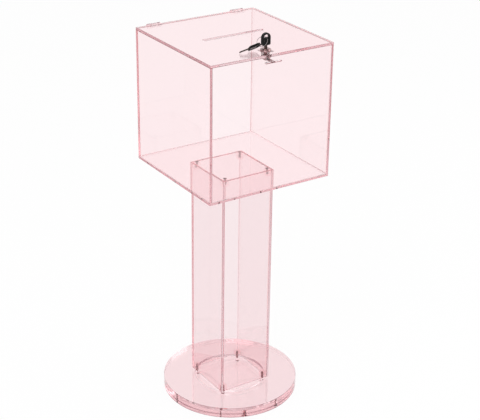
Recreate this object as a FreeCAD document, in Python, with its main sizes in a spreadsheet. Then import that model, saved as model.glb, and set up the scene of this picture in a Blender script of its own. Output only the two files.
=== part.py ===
import FreeCAD
import Part
import Sketcher
import math
import os
import re

# Clear acrylic ballot box on a square column and a round base.
# Millimetres, +Z up, origin on the floor under the middle of the base, front towards -Y.

doc = FreeCAD.newDocument("ballot_box")
sheet = doc.addObject("Spreadsheet::Sheet", "Sizes")

# Driving dimensions: name, value, what it is
SIZES = [
    ("base_diameter", 310, "round base"),
    ("base_upper_thickness", 16, "upper of the two bonded sheets of the base"),
    ("base_lower_thickness", 9, "lower of the two bonded sheets of the base"),
    ("recess_diameter", 164, "shallow round relief in the base's top, under the column"),
    ("recess_depth", 6, "depth of that relief"),
    ("column_width", 130, "outer width of the square column"),
    ("column_wall", 5, "thickness of the column's walls"),
    ("column_height", 525, "length of the column between base and box"),
    ("block_width", 12, "square corner blocks that take the screws"),
    ("block_height", 14, "height of the corner blocks"),
    ("box_width", 300, "box along X"),
    ("box_depth", 300, "box along Y"),
    ("box_height", 300, "box from the underside of its floor to the top of its lid"),
    ("floor_thickness", 5, "box floor"),
    ("wall_thickness", 5, "box walls"),
    ("lid_thickness", 5, "lid"),
    ("lid_gap", 0.3, "running gap between the walls' top edges and the lid"),
    ("slot_length", 150, "ballot slot in the lid, over its round ends"),
    ("slot_width", 8, "ballot slot in the lid"),
    ("foot_screw_diameter", 5, "countersunk screws that come up through the base"),
    ("foot_screw_head", 9.5, "head diameter of the base screws"),
    ("foot_screw_length", 35, "base screws, over the head"),
    ("foot_screw_sink", 0.9, "heads of the base screws stay this far above the floor"),
    ("top_screw_diameter", 4, "countersunk screws down through the box floor"),
    ("top_screw_head", 7.6, "head diameter of the box screws"),
    ("top_screw_length", 16, "box screws, over the head"),
    ("screw_clearance", 0.2, "radial gap of a screw in a plain hole"),
    ("thread_clearance", 0.05, "radial gap of a screw in its threaded hole"),
    ("thread_room", 1, "empty thread beyond the end of a screw"),
    ("socket_radius", 1.6, "corner radius of the hexagon socket in each screw head"),
    ("socket_depth", 1.5, "depth of the hexagon socket"),
    ("hinge_inset", 44, "side of the box to the middle of the hinge"),
    ("hinge_length", 32, "hinge along X"),
    ("hinge_reach", 11.5, "each leaf, from the box's corner to its free edge"),
    ("leaf_thickness", 1.5, "hinge leaves"),
    ("knuckle_radius", 2, "round barrel of the hinge"),
    ("hinge_pin_radius", 1, "steel hinge pin"),
    ("running_clearance", 0.05, "radial gap of a pin or plug in its bore"),
    ("knuckle_length", 15.4, "middle knuckle, on the lid's leaf"),
    ("hinge_gap", 0.3, "side gap between knuckles, and leaf to neighbouring leaf"),
    ("lock_setback", 30, "lock's axis behind the front of the lid"),
    ("flange_radius", 11.5, "lock's round flange on top of the lid"),
    ("flange_height", 2.5, "lock's flange"),
    ("flange_bevel", 0.8, "bevel round the flange's top"),
    ("barrel_radius", 9.25, "lock's threaded barrel"),
    ("barrel_length", 16.5, "barrel below the flange"),
    ("barrel_clearance", 0.25, "radial gap of the barrel in the lid"),
    ("clip_radius", 12, "half the width of the square clip that holds the barrel under the lid"),
    ("clip_thickness", 1.2, "retaining clip"),
    ("clip_bite", 1, "depth of the two grooves that the clip sits in"),
    ("plug_radius", 6, "turning plug inside the barrel"),
    ("plug_face_radius", 7.5, "round face of the plug, on the flange"),
    ("plug_rise", 1, "face of the plug above the flange"),
    ("tail_width", 6, "square tail of the plug, through the cam"),
    ("cam_thickness", 2, "steel cam"),
    ("cam_width", 9, "arm of the cam"),
    ("cam_hub_radius", 7.5, "round end of the cam"),
    ("cam_reach", 29.5, "lock's axis to the tip of the cam"),
    ("cam_clearance", 0.1, "gap round the tail, and between barrel and cam"),
    ("cam_screw_radius", 2, "screw that holds the cam"),
    ("cam_screw_head", 4, "head radius of the cam screw"),
    ("cam_screw_head_height", 2.2, "head height of the cam screw"),
    ("cam_screw_depth", 5, "cam screw above the cam's underside"),
    ("catch_length", 40, "catch slot in the front wall, along X"),
    ("catch_clearance", 0.5, "gap over and under the cam in the catch slot"),
    ("key_width", 7, "key blade"),
    ("key_thickness", 2, "key blade"),
    ("key_clearance", 0.1, "gap each side of the key in its keyway"),
    ("key_depth", 15, "key blade inside the plug"),
    ("keyway_room", 1, "keyway below the tip of the key"),
    ("key_neck", 6.5, "key blade between plug and bow"),
    ("bow_width", 20.6, "plastic bow of a key"),
    ("bow_height", 26, "plastic bow of a key"),
    ("bow_thickness", 5, "plastic bow of a key"),
    ("bow_seat", 9, "key blade inside the bow"),
    ("bow_strap", 3.5, "plastic left over the hole in the bow"),
    ("bow_hole_radius", 6.4, "half round hole in the bow"),
    ("bow_corner", 2.5, "rounded lower corners of the bow"),
    ("notch_depth", 1.3, "cuts in the key blade"),
    ("notch_spacing", 3, "distance between the cuts"),
    ("ring_radius", 11.5, "key ring, to the middle of its wire"),
    ("ring_wire_radius", 0.6, "wire of the key ring"),
    ("ring_x", -10.5, "middle of the ring, right of the lock's axis"),
    ("ring_y", -2.6, "middle of the ring, behind the lock's axis"),
    ("ring_rise", 9.75, "middle of the ring, above the foot of the bow"),
    ("ring_yaw", -154.7, "turn of the ring about +Z, in degrees"),
    ("ring_pitch", 47.2, "tilt of the ring about its turned second axis, in degrees"),
    ("spare_x", -38.6, "foot of the spare key's bow, right of the lock's axis"),
    ("spare_y", 2.3, "foot of the spare key's bow, behind the lock's axis"),
    ("spare_rise", 7.83, "foot of the spare key's bow, above the lid"),
    ("spare_yaw", 75.4, "turn of the spare key about +Z, in degrees"),
    ("spare_pitch", 35.8, "tilt of the spare key about its turned second axis, in degrees"),
    ("spare_roll", 74.4, "roll of the spare key, in degrees"),
]

for row, (name, value, note) in enumerate(SIZES, start=1):
    sheet.set(f"A{row}", name)
    sheet.set(f"B{row}", str(value))
    sheet.set(f"C{row}", note)
    sheet.setAlias(f"B{row}", name)
doc.recompute()

SIZE_NAMES = {name for name, _, _ in SIZES}
NOTCH_COUNT = 4
nodes = []


def formula(text):
    """Turns the names of sizes in a text into references to the sheet."""
    return re.sub(r"[a-z][a-z_]*", lambda word: f"Sizes.{word[0]}" if word[0] in SIZE_NAMES else word[0], text)


def bind(thing, **values):
    """Ties properties of a thing to formulas of the sizes."""
    for name, text in values.items():
        thing.setExpression(name, formula(text))


def place(thing, x="0", y="0", z="0", turn=None):
    """Puts a thing's own origin at a point given by formulas, after an optional turn."""
    if turn:
        thing.Placement.Rotation = turn
    for axis, text in zip("xyz", (x, y, z)):
        thing.setExpression(f"Placement.Base.{axis}", formula(text))


def block(label, along_x, along_y, along_z, at):
    """Box from its lowest corner."""
    solid = doc.addObject("Part::Box", label)
    bind(solid, Length=along_x, Width=along_y, Height=along_z)
    place(solid, *at)
    return solid


def rod(label, radius, height, at, turn=None):
    """Round bar, along +Z unless turned."""
    solid = doc.addObject("Part::Cylinder", label)
    bind(solid, Radius=radius, Height=height)
    place(solid, *at, turn)
    return solid


def cone(label, foot_radius, top_radius, height, at):
    """Cone frustum along +Z."""
    solid = doc.addObject("Part::Cone", label)
    bind(solid, Radius1=foot_radius, Radius2=top_radius, Height=height)
    place(solid, *at)
    return solid


def hexagon(label, corner_radius, height, at):
    """Six-sided prism along +Z."""
    solid = doc.addObject("Part::Prism", label)
    solid.Polygon = 6
    bind(solid, Circumradius=corner_radius, Height=height)
    place(solid, *at)
    return solid


def fuse(label, *solids):
    """One solid from several that overlap or touch."""
    joined = doc.addObject("Part::MultiFuse", label)
    joined.Shapes = list(solids)
    return joined


def cut(label, solid, *tools):
    """A solid less the tools."""
    rest = doc.addObject("Part::Cut", label)
    rest.Base = solid
    rest.Tool = tools[0] if len(tools) == 1 else fuse(f"{label}_tools", *tools)
    return rest


def group(label, solids):
    """Several separate solids in one node."""
    together = doc.addObject("Part::Compound", label)
    together.Links = solids
    return together


def node(thing):
    """Marks a finished piece, which is written out under its label."""
    nodes.append(thing)
    return thing


def new_body(label):
    """Piece built from sketches."""
    return doc.addObject("PartDesign::Body", label)


def new_sketch(body, suffix, plane="XY_Plane", x="0", y="0", z="0"):
    """Sketch on one of the body's own planes, shifted by formulas."""
    sketch = body.newObject("Sketcher::SketchObject", f"{body.Label}_{suffix}")
    support = next(face for face in body.Origin.OriginFeatures if face.Role == plane)
    sketch.AttachmentSupport = [(support, "")]
    sketch.MapMode = "FlatFace"
    for axis, text in zip("xyz", (x, y, z)):
        sketch.setExpression(f"AttachmentOffset.Base.{axis}", formula(text))
    return sketch


def dimension(sketch, name, text, drawn_size, *constraint):
    """Named dimension of a sketch, tied to a formula. It starts at the size that was drawn."""
    index = sketch.addConstraint(Sketcher.Constraint(*constraint, drawn_size))
    sketch.renameConstraint(index, name)
    sketch.setExpression(f"Constraints.{name}", formula(text))


def line(sketch, start, end):
    """Straight edge of a sketch."""
    return sketch.addGeometry(Part.LineSegment(FreeCAD.Vector(*start, 0), FreeCAD.Vector(*end, 0)), False)


def arc(sketch, centre, radius, from_degrees, to_degrees):
    """Round edge of a sketch."""
    circle = Part.Circle(FreeCAD.Vector(*centre, 0), FreeCAD.Vector(0, 0, 1), radius)
    return sketch.addGeometry(Part.ArcOfCircle(circle, math.radians(from_degrees), math.radians(to_degrees)), False)


def draw_circle(sketch, radius):
    """Circle about the sketch's origin."""
    circle = Part.Circle(FreeCAD.Vector(0, 0, 0), FreeCAD.Vector(0, 0, 1), 1)
    index = sketch.addGeometry(circle, False)
    sketch.addConstraint(Sketcher.Constraint("Coincident", index, 3, -1, 1))
    dimension(sketch, "radius", radius, 1, "Radius", index)


def draw_rectangle(sketch, width, height):
    """Rectangle about the sketch's origin."""
    corners = [(-1, -1), (1, -1), (1, 1), (-1, 1)]
    edges = [line(sketch, corners[i], corners[(i + 1) % 4]) for i in range(4)]
    for i in range(4):
        sketch.addConstraint(Sketcher.Constraint("Coincident", edges[i], 2, edges[(i + 1) % 4], 1))
    for i in (0, 2):
        sketch.addConstraint(Sketcher.Constraint("Horizontal", edges[i]))
    for i in (1, 3):
        sketch.addConstraint(Sketcher.Constraint("Vertical", edges[i]))
    sketch.addConstraint(Sketcher.Constraint("Symmetric", edges[0], 1, edges[1], 2, -1, 1))
    dimension(sketch, "width", width, 2, "DistanceX", edges[0], 1, edges[0], 2)
    dimension(sketch, "height", height, 2, "DistanceY", edges[1], 1, edges[1], 2)


def draw_slot(sketch, length, width):
    """Slot with round ends about the sketch's origin, along its first axis."""
    left = arc(sketch, (-2, 0), 1, 90, 270)
    bottom = line(sketch, (-2, -1), (2, -1))
    right = arc(sketch, (2, 0), 1, 270, 450)
    top = line(sketch, (2, 1), (-2, 1))
    edges = [left, bottom, right, top]
    for i in range(4):
        sketch.addConstraint(Sketcher.Constraint("Tangent", edges[i], 2, edges[(i + 1) % 4], 1))
    sketch.addConstraint(Sketcher.Constraint("Horizontal", bottom))
    sketch.addConstraint(Sketcher.Constraint("Equal", left, right))
    sketch.addConstraint(Sketcher.Constraint("Symmetric", left, 3, right, 3, -1, 1))
    dimension(sketch, "radius", f"({width}) / 2", 1, "Radius", left)
    dimension(sketch, "centres", f"({length}) - ({width})", 4, "DistanceX", left, 3, right, 3)


def draw_half_disc(sketch, radius):
    """Upper half of a disc about the sketch's origin."""
    curve = arc(sketch, (0, 0), 1, 0, 180)
    flat = line(sketch, (-1, 0), (1, 0))
    sketch.addConstraint(Sketcher.Constraint("Coincident", curve, 2, flat, 1))
    sketch.addConstraint(Sketcher.Constraint("Coincident", flat, 2, curve, 1))
    sketch.addConstraint(Sketcher.Constraint("Coincident", curve, 3, -1, 1))
    sketch.addConstraint(Sketcher.Constraint("Horizontal", flat))
    dimension(sketch, "radius", radius, 1, "Radius", curve)


def draw_arch(sketch, width, height, corner):
    """Outline with a half-round top and small round lower corners, standing on the first axis."""
    foot = line(sketch, (-8, 0), (8, 0))
    right_corner = arc(sketch, (8, 2), 2, 270, 360)
    right = line(sketch, (10, 2), (10, 16))
    crown = arc(sketch, (0, 16), 10, 0, 180)
    left = line(sketch, (-10, 16), (-10, 2))
    left_corner = arc(sketch, (-8, 2), 2, 180, 270)
    edges = [foot, right_corner, right, crown, left, left_corner]
    for i in range(len(edges)):
        sketch.addConstraint(Sketcher.Constraint("Tangent", edges[i], 2, edges[(i + 1) % len(edges)], 1))
    sketch.addConstraint(Sketcher.Constraint("Horizontal", foot))
    sketch.addConstraint(Sketcher.Constraint("Vertical", right))
    sketch.addConstraint(Sketcher.Constraint("Vertical", left))
    sketch.addConstraint(Sketcher.Constraint("Equal", right_corner, left_corner))
    sketch.addConstraint(Sketcher.Constraint("PointOnObject", foot, 1, -1))
    sketch.addConstraint(Sketcher.Constraint("PointOnObject", crown, 3, -2))
    dimension(sketch, "corner", corner, 2, "Radius", right_corner)
    dimension(sketch, "crown", f"({width}) / 2", 10, "Radius", crown)
    dimension(sketch, "rise", f"({height}) - ({width}) / 2", 16, "DistanceY", -1, 1, crown, 3)


def pad(body, sketch, length, both_ways=False, reverse=False):
    """Adds a sketch's area, drawn out to a length."""
    feature = body.newObject("PartDesign::Pad", f"{sketch.Name}_pad")
    feature.Profile = sketch
    feature.Midplane = both_ways
    feature.Reversed = reverse
    bind(feature, Length=length)
    return feature


def pocket(body, sketch, depth=None, both_ways=False, reverse=False):
    """Takes a sketch's area away, to a depth or right through."""
    feature = body.newObject("PartDesign::Pocket", f"{sketch.Name}_pocket")
    feature.Profile = sketch
    feature.Midplane = both_ways
    feature.Reversed = reverse
    if depth:
        bind(feature, Length=depth)
    else:
        feature.Type = "ThroughAll"
    return feature


# Heights and places that several pieces share
BASE_TOP = "(base_lower_thickness + base_upper_thickness)"
COLUMN_TOP = f"({BASE_TOP} + column_height)"
FLOOR_TOP = f"({COLUMN_TOP} + floor_thickness)"
WALL_HEIGHT = "(box_height - floor_thickness - lid_thickness - lid_gap)"
LID_TOP = f"({COLUMN_TOP} + box_height)"
LID_UNDERSIDE = f"({LID_TOP} - lid_thickness)"
SCREW_OFFSET = "(column_width / 2 - column_wall - block_width / 2)"
LOCK_Y = "(lock_setback - box_depth / 2)"
BARREL_END = f"({LID_TOP} - barrel_length)"
CAM_TOP = f"({BARREL_END} - cam_clearance)"
CAM_UNDERSIDE = f"({CAM_TOP} - cam_thickness)"
FLANGE_TOP = f"({LID_TOP} + flange_height)"
PLUG_FACE = f"({FLANGE_TOP} + plug_rise)"
BOW_FOOT = f"({PLUG_FACE} + key_neck)"
CORNERS = [("left_front", -1, -1), ("right_front", 1, -1), ("right_back", 1, 1), ("left_back", -1, 1)]
ALONG_X = FreeCAD.Rotation(FreeCAD.Vector(0, 1, 0), 90)
ALONG_Y = FreeCAD.Rotation(FreeCAD.Vector(1, 0, 0), -90)


def screw_place(side_x, side_y, z):
    """Point over one of the four corner blocks."""
    return (f"{side_x} * {SCREW_OFFSET}", f"{side_y} * {SCREW_OFFSET}", z)


# Round base: two sheets bonded face to face
def make_base():
    lower_blank = rod("base_lower_blank", "base_diameter / 2", "base_lower_thickness", ("0", "0", "0"))
    head_height = "((foot_screw_head - foot_screw_diameter) / 2)"
    tools = []
    for corner, side_x, side_y in CORNERS:
        hole = rod(f"base_lower_hole_{corner}", "foot_screw_diameter / 2 + screw_clearance",
                   "base_lower_thickness", screw_place(side_x, side_y, "0"))
        mouth = rod(f"base_lower_mouth_{corner}", "foot_screw_head / 2 + screw_clearance",
                    "foot_screw_sink", screw_place(side_x, side_y, "0"))
        sink = cone(f"base_lower_sink_{corner}", "foot_screw_head / 2 + screw_clearance",
                    "foot_screw_diameter / 2 + screw_clearance", head_height,
                    screw_place(side_x, side_y, "foot_screw_sink"))
        tools += [hole, mouth, sink]
    node(cut("base_lower_layer", lower_blank, *tools))

    upper = new_body("base_upper_layer")
    disc = new_sketch(upper, "disc")
    draw_circle(disc, "base_diameter / 2")
    pad(upper, disc, "base_upper_thickness")
    relief = new_sketch(upper, "relief", z="base_upper_thickness")
    draw_circle(relief, "recess_diameter / 2")
    pocket(upper, relief, "recess_depth")
    screw_hole = new_sketch(upper, "screw_hole", x=SCREW_OFFSET, y=SCREW_OFFSET, z="base_upper_thickness")
    draw_circle(screw_hole, "foot_screw_diameter / 2 + screw_clearance")
    hole = pocket(upper, screw_hole)
    doc.recompute()
    holes = upper.newObject("PartDesign::PolarPattern", "base_upper_holes")
    holes.Originals = [hole]
    holes.Axis = (next(axis for axis in upper.Origin.OriginFeatures if axis.Role == "Z_Axis"), [""])
    holes.Angle = 360
    holes.Occurrences = len(CORNERS)
    upper.Tip = holes
    place(upper, z="base_lower_thickness")
    node(upper)


def make_screw(label, diameter, head, length, at, head_down):
    """Countersunk screw with a hexagon socket. Its flat head is at the given point."""
    head_height = f"(({head}) - ({diameter})) / 2"
    shank = rod(f"{label}_shank", f"({diameter}) / 2", length, ("0", "0", "0"))
    cap = cone(f"{label}_cap", f"({head}) / 2", f"({diameter}) / 2", head_height, ("0", "0", "0"))
    socket = hexagon(f"{label}_socket", "socket_radius", "socket_depth", ("0", "0", "0"))
    screw = cut(label, fuse(f"{label}_blank", shank, cap), socket)
    upside_down = FreeCAD.Rotation(FreeCAD.Vector(1, 0, 0), 180)
    place(screw, *at, None if head_down else upside_down)
    return screw


# Square column: two full-width side walls, with the front and back walls between them
def make_column():
    inner_width = "(column_width - 2 * column_wall)"
    for side, x in (("left", "-column_width / 2"), ("right", "column_width / 2 - column_wall")):
        node(block(f"column_{side}_wall", "column_wall", "column_width", "column_height",
                   (x, "-column_width / 2", BASE_TOP)))
    for side, y in (("front", "-column_width / 2"), ("back", "column_width / 2 - column_wall")):
        node(block(f"column_{side}_wall", inner_width, "column_wall", "column_height",
                   (f"-{inner_width} / 2", y, BASE_TOP)))


def make_corner_blocks(place_name, z, bore_radius, bore_depth, bore_z):
    """Four bonded blocks with a threaded hole each."""
    blocks = []
    for corner, side_x, side_y in CORNERS:
        label = f"{place_name}_block_{corner}"
        blank = block(f"{label}_blank", "block_width", "block_width", "block_height",
                      (f"{side_x} * {SCREW_OFFSET} - block_width / 2",
                       f"{side_y} * {SCREW_OFFSET} - block_width / 2", z))
        bore = rod(f"{label}_bore", bore_radius, bore_depth, screw_place(side_x, side_y, bore_z))
        blocks.append(cut(label, blank, bore))
    node(group(f"column_{place_name}_blocks", blocks))


def make_fixings():
    foot_bore = f"foot_screw_length + foot_screw_sink - {BASE_TOP} + thread_room"
    make_corner_blocks("foot", BASE_TOP, "foot_screw_diameter / 2 + thread_clearance", foot_bore, BASE_TOP)
    top_bore = "(top_screw_length - floor_thickness + thread_room)"
    make_corner_blocks("top", f"{COLUMN_TOP} - block_height", "top_screw_diameter / 2 + thread_clearance",
                       top_bore, f"{COLUMN_TOP} - {top_bore}")
    foot_screws = [make_screw(f"foot_screw_{corner}", "foot_screw_diameter", "foot_screw_head",
                              "foot_screw_length", screw_place(side_x, side_y, "foot_screw_sink"), True)
                   for corner, side_x, side_y in CORNERS]
    node(group("base_screws", foot_screws))
    top_screws = [make_screw(f"top_screw_{corner}", "top_screw_diameter", "top_screw_head",
                             "top_screw_length", screw_place(side_x, side_y, FLOOR_TOP), False)
                  for corner, side_x, side_y in CORNERS]
    node(group("box_floor_screws", top_screws))


# Box: floor on the column, side walls over the full depth, front and back walls between them
def make_box():
    blank = block("box_floor_blank", "box_width", "box_depth", "floor_thickness",
                  ("-box_width / 2", "-box_depth / 2", COLUMN_TOP))
    head_height = "((top_screw_head - top_screw_diameter) / 2)"
    tools = []
    for corner, side_x, side_y in CORNERS:
        hole = rod(f"box_floor_hole_{corner}", "top_screw_diameter / 2 + screw_clearance", "floor_thickness",
                   screw_place(side_x, side_y, COLUMN_TOP))
        sink = cone(f"box_floor_sink_{corner}", "top_screw_diameter / 2 + screw_clearance",
                    "top_screw_head / 2 + screw_clearance", head_height,
                    screw_place(side_x, side_y, f"{FLOOR_TOP} - {head_height}"))
        tools += [hole, sink]
    node(cut("box_floor", blank, *tools))

    for side, x in (("left", "-box_width / 2"), ("right", "box_width / 2 - wall_thickness")):
        node(block(f"box_{side}_wall", "wall_thickness", "box_depth", WALL_HEIGHT,
                   (x, "-box_depth / 2", FLOOR_TOP)))
    inner_width = "(box_width - 2 * wall_thickness)"
    node(block("box_back_wall", inner_width, "wall_thickness", WALL_HEIGHT,
               (f"-{inner_width} / 2", "box_depth / 2 - wall_thickness", FLOOR_TOP)))

    # The front wall has the slot that the lock's cam turns into
    front = new_body("box_front_wall")
    sheet_outline = new_sketch(front, "outline", "XZ_Plane")
    draw_rectangle(sheet_outline, inner_width, WALL_HEIGHT)
    pad(front, sheet_outline, "wall_thickness")
    middle = f"({FLOOR_TOP} + {WALL_HEIGHT} / 2)"
    cam_middle = f"({CAM_UNDERSIDE} + cam_thickness / 2)"
    catch = new_sketch(front, "catch", "XZ_Plane", y=f"{cam_middle} - {middle}")
    draw_slot(catch, "catch_length", "cam_thickness + 2 * catch_clearance")
    pocket(front, catch, reverse=True)
    place(front, y="wall_thickness - box_depth / 2", z=middle)
    node(front)


# Lid with the ballot slot and the hole for the lock
def make_lid():
    lid = new_body("lid_panel")
    outline = new_sketch(lid, "outline")
    draw_rectangle(outline, "box_width", "box_depth")
    pad(lid, outline, "lid_thickness")
    ballot_slot = new_sketch(lid, "ballot_slot", z="lid_thickness")
    draw_slot(ballot_slot, "slot_length", "slot_width")
    pocket(lid, ballot_slot)
    lock_hole = new_sketch(lid, "lock_hole", y=LOCK_Y, z="lid_thickness")
    draw_circle(lock_hole, "barrel_radius + barrel_clearance")
    pocket(lid, lock_hole)
    place(lid, z=LID_UNDERSIDE)
    node(lid)


# Hinges: one leaf on the back wall, one on the lid, and a pin level with the lid's top, behind it
def make_hinge(side, side_sign):
    middle_x = f"({side_sign} * (box_width / 2 - hinge_inset))"
    back_y = "(box_depth / 2)"
    axis_y = f"({back_y} + hinge_gap + knuckle_radius)"
    axis_z = LID_TOP
    outer_length = "((hinge_length - knuckle_length) / 2 - hinge_gap)"
    left_end = f"({middle_x} - hinge_length / 2)"
    right_knuckle = f"({middle_x} + hinge_length / 2 - {outer_length})"
    tab_height = "(knuckle_radius + hinge_gap)"

    plate = block(f"{side}_box_leaf_plate", "hinge_length", "leaf_thickness", f"hinge_reach - {tab_height}",
                  (left_end, back_y, f"{LID_TOP} - hinge_reach"))
    pieces = [plate]
    for place_name, x in (("left", left_end), ("right", right_knuckle)):
        pieces.append(block(f"{side}_box_leaf_{place_name}_tab", outer_length, "knuckle_radius", tab_height,
                            (x, f"{back_y} + hinge_gap", f"{LID_TOP} - {tab_height}")))
        pieces.append(rod(f"{side}_box_leaf_{place_name}_knuckle", "knuckle_radius", outer_length,
                          (x, axis_y, axis_z), ALONG_X))
    bore = rod(f"{side}_box_leaf_bore", "hinge_pin_radius + running_clearance", "hinge_length",
               (left_end, axis_y, axis_z), ALONG_X)
    node(cut(f"{side}_hinge_box_leaf", fuse(f"{side}_box_leaf_blank", *pieces), bore))

    knuckle_x = f"({middle_x} - knuckle_length / 2)"
    lid_plate = block(f"{side}_lid_leaf_plate", "hinge_length", "hinge_reach", "leaf_thickness",
                      (left_end, f"{back_y} - hinge_reach", LID_TOP))
    lid_tab = block(f"{side}_lid_leaf_tab", "knuckle_length", tab_height, "leaf_thickness",
                    (knuckle_x, back_y, LID_TOP))
    lid_knuckle = rod(f"{side}_lid_leaf_knuckle", "knuckle_radius", "knuckle_length",
                      (knuckle_x, axis_y, axis_z), ALONG_X)
    lid_bore = rod(f"{side}_lid_leaf_bore", "hinge_pin_radius + running_clearance", "knuckle_length",
                   (knuckle_x, axis_y, axis_z), ALONG_X)
    node(cut(f"{side}_hinge_lid_leaf", fuse(f"{side}_lid_leaf_blank", lid_plate, lid_tab, lid_knuckle), lid_bore))
    node(rod(f"{side}_hinge_pin", "hinge_pin_radius", "hinge_length", (left_end, axis_y, axis_z), ALONG_X))


# Cam lock: flanged barrel through the lid, held by a clip underneath, with a turning plug and a cam
def make_lock():
    barrel = rod("lock_barrel", "barrel_radius", "barrel_length", ("0", LOCK_Y, BARREL_END))
    flange = rod("lock_flange", "flange_radius", "flange_height - flange_bevel", ("0", LOCK_Y, LID_TOP))
    bevel = cone("lock_flange_top", "flange_radius", "flange_radius - flange_bevel", "flange_bevel",
                 ("0", LOCK_Y, f"{FLANGE_TOP} - flange_bevel"))
    bore = rod("lock_bore", "plug_radius + running_clearance", "barrel_length + flange_height",
               ("0", LOCK_Y, BARREL_END))
    clip_z = f"({LID_UNDERSIDE} - clip_thickness)"
    grooves = [block(f"lock_groove_{side}", "clip_bite", "2 * barrel_radius", "clip_thickness",
                     (x, f"{LOCK_Y} - barrel_radius", clip_z))
               for side, x in (("left", "-barrel_radius"), ("right", "barrel_radius - clip_bite"))]
    node(cut("lock_body", fuse("lock_body_blank", barrel, flange, bevel), bore, *grooves))

    clip_gap = "(2 * (barrel_radius - clip_bite) + 2 * thread_clearance)"
    clip_blank = block("lock_clip_blank", "2 * clip_radius", "2 * clip_radius", "clip_thickness",
                       ("-clip_radius", f"{LOCK_Y} - clip_radius", clip_z))
    clip_mouth = block("lock_clip_mouth", clip_gap, "clip_radius + barrel_radius + thread_clearance",
                       "clip_thickness", (f"-{clip_gap} / 2", f"{LOCK_Y} - barrel_radius - thread_clearance", clip_z))
    node(cut("lock_clip", clip_blank, clip_mouth))

    plug = rod("lock_plug_shaft", "plug_radius", "barrel_length + flange_height", ("0", LOCK_Y, BARREL_END))
    face = rod("lock_plug_face", "plug_face_radius", "plug_rise", ("0", LOCK_Y, FLANGE_TOP))
    tail_length = "(cam_clearance + cam_thickness)"
    tail = block("lock_plug_tail", "tail_width", "tail_width", tail_length,
                 ("-tail_width / 2", f"{LOCK_Y} - tail_width / 2", CAM_UNDERSIDE))
    keyway_depth = "(key_depth + keyway_room)"
    keyway = block("lock_keyway", "key_width + 2 * key_clearance", "key_thickness + 2 * key_clearance",
                   keyway_depth, ("-key_width / 2 - key_clearance",
                                  f"{LOCK_Y} - key_thickness / 2 - key_clearance", f"{PLUG_FACE} - {keyway_depth}"))
    screw_bore = rod("lock_plug_screw_bore", "cam_screw_radius + thread_clearance", "cam_screw_depth",
                     ("0", LOCK_Y, CAM_UNDERSIDE))
    node(cut("lock_plug", fuse("lock_plug_blank", plug, face, tail), keyway, screw_bore))

    cam = new_body("lock_cam")
    hub = new_sketch(cam, "hub")
    draw_circle(hub, "cam_hub_radius")
    pad(cam, hub, "cam_thickness")
    arm = new_sketch(cam, "arm", y="-cam_reach / 2")
    draw_rectangle(arm, "cam_width", "cam_reach")
    pad(cam, arm, "cam_thickness")
    square = new_sketch(cam, "square", z="cam_thickness")
    draw_rectangle(square, "tail_width + 2 * cam_clearance", "tail_width + 2 * cam_clearance")
    pocket(cam, square)
    place(cam, y=LOCK_Y, z=CAM_UNDERSIDE)
    node(cam)

    stem = rod("cam_screw_stem", "cam_screw_radius", "cam_screw_depth", ("0", LOCK_Y, CAM_UNDERSIDE))
    head = rod("cam_screw_cap", "cam_screw_head", "cam_screw_head_height",
               ("0", LOCK_Y, f"{CAM_UNDERSIDE} - cam_screw_head_height"))
    drive = hexagon("cam_screw_socket", "socket_radius", "socket_depth",
                    ("0", LOCK_Y, f"{CAM_UNDERSIDE} - cam_screw_head_height"))
    node(cut("cam_screw", fuse("cam_screw_blank", stem, head), drive))


def make_key(prefix, at, turn=None):
    """Metal blade and plastic bow. The bow's foot is at the given point, with the blade below it."""
    blade_foot = "(-key_neck - key_depth)"
    blank = block(f"{prefix}_blank", "key_width", "key_thickness", "key_depth + key_neck + bow_seat",
                  ("-key_width / 2", "-key_thickness / 2", blade_foot))
    notches = [rod(f"{prefix}_notch_{index}", "notch_depth", "key_thickness",
                   ("key_width / 2", "-key_thickness / 2", f"{blade_foot} + {index} * notch_spacing"), ALONG_Y)
               for index in range(1, NOTCH_COUNT + 1)]
    blade = cut(f"{prefix}_blade", blank, *notches)
    place(blade, *at, turn)
    node(blade)

    bow = new_body(f"{prefix}_bow")
    outline = new_sketch(bow, "outline", "XZ_Plane")
    draw_arch(outline, "bow_width", "bow_height", "bow_corner")
    pad(bow, outline, "bow_thickness", both_ways=True)
    hole = new_sketch(bow, "hole", "XZ_Plane", y="bow_height - bow_strap - bow_hole_radius")
    draw_half_disc(hole, "bow_hole_radius")
    pocket(bow, hole, "2 * bow_thickness", both_ways=True)
    seat = new_sketch(bow, "seat")
    draw_rectangle(seat, "key_width", "key_thickness")
    pocket(bow, seat, "bow_seat", reverse=True)
    place(bow, *at, turn)
    node(bow)


# Ring through the hole in the bow of the key in the lock, and the second key that hangs on it
def make_key_ring():
    ring = doc.addObject("Part::Torus", "key_ring")
    bind(ring, Radius1="ring_radius", Radius2="ring_wire_radius")
    place(ring, "ring_x", f"{LOCK_Y} + ring_y", f"{BOW_FOOT} + ring_rise",
          FreeCAD.Rotation(sheet.ring_yaw, sheet.ring_pitch, 0))
    node(ring)


make_base()
make_column()
make_fixings()
make_box()
make_lid()
for side, side_sign in (("left", -1), ("right", 1)):
    make_hinge(side, side_sign)
make_lock()
make_key("key", ("0", LOCK_Y, BOW_FOOT))
make_key_ring()
make_key("spare_key", ("spare_x", f"{LOCK_Y} + spare_y", f"{LID_TOP} + spare_rise"),
         FreeCAD.Rotation(sheet.spare_yaw, sheet.spare_pitch, sheet.spare_roll))
doc.recompute()

# Checks before anything is written
for thing in doc.Objects:
    if {"Invalid", "Error"} & set(thing.State):
        raise RuntimeError(f"{thing.Label} could not be built: {thing.State}")
    if thing.TypeId == "PartDesign::Pocket" and thing.Shape.Volume >= thing.BaseFeature.Shape.Volume:
        raise RuntimeError(f"{thing.Label} takes nothing away")
labels = [thing.Label for thing in nodes]
if len(set(labels)) != len(labels):
    raise RuntimeError("two pieces share a name")
for thing in nodes:
    if thing.Shape.isNull() or not thing.Shape.isValid():
        raise RuntimeError(f"{thing.Label} has no valid shape")

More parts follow.
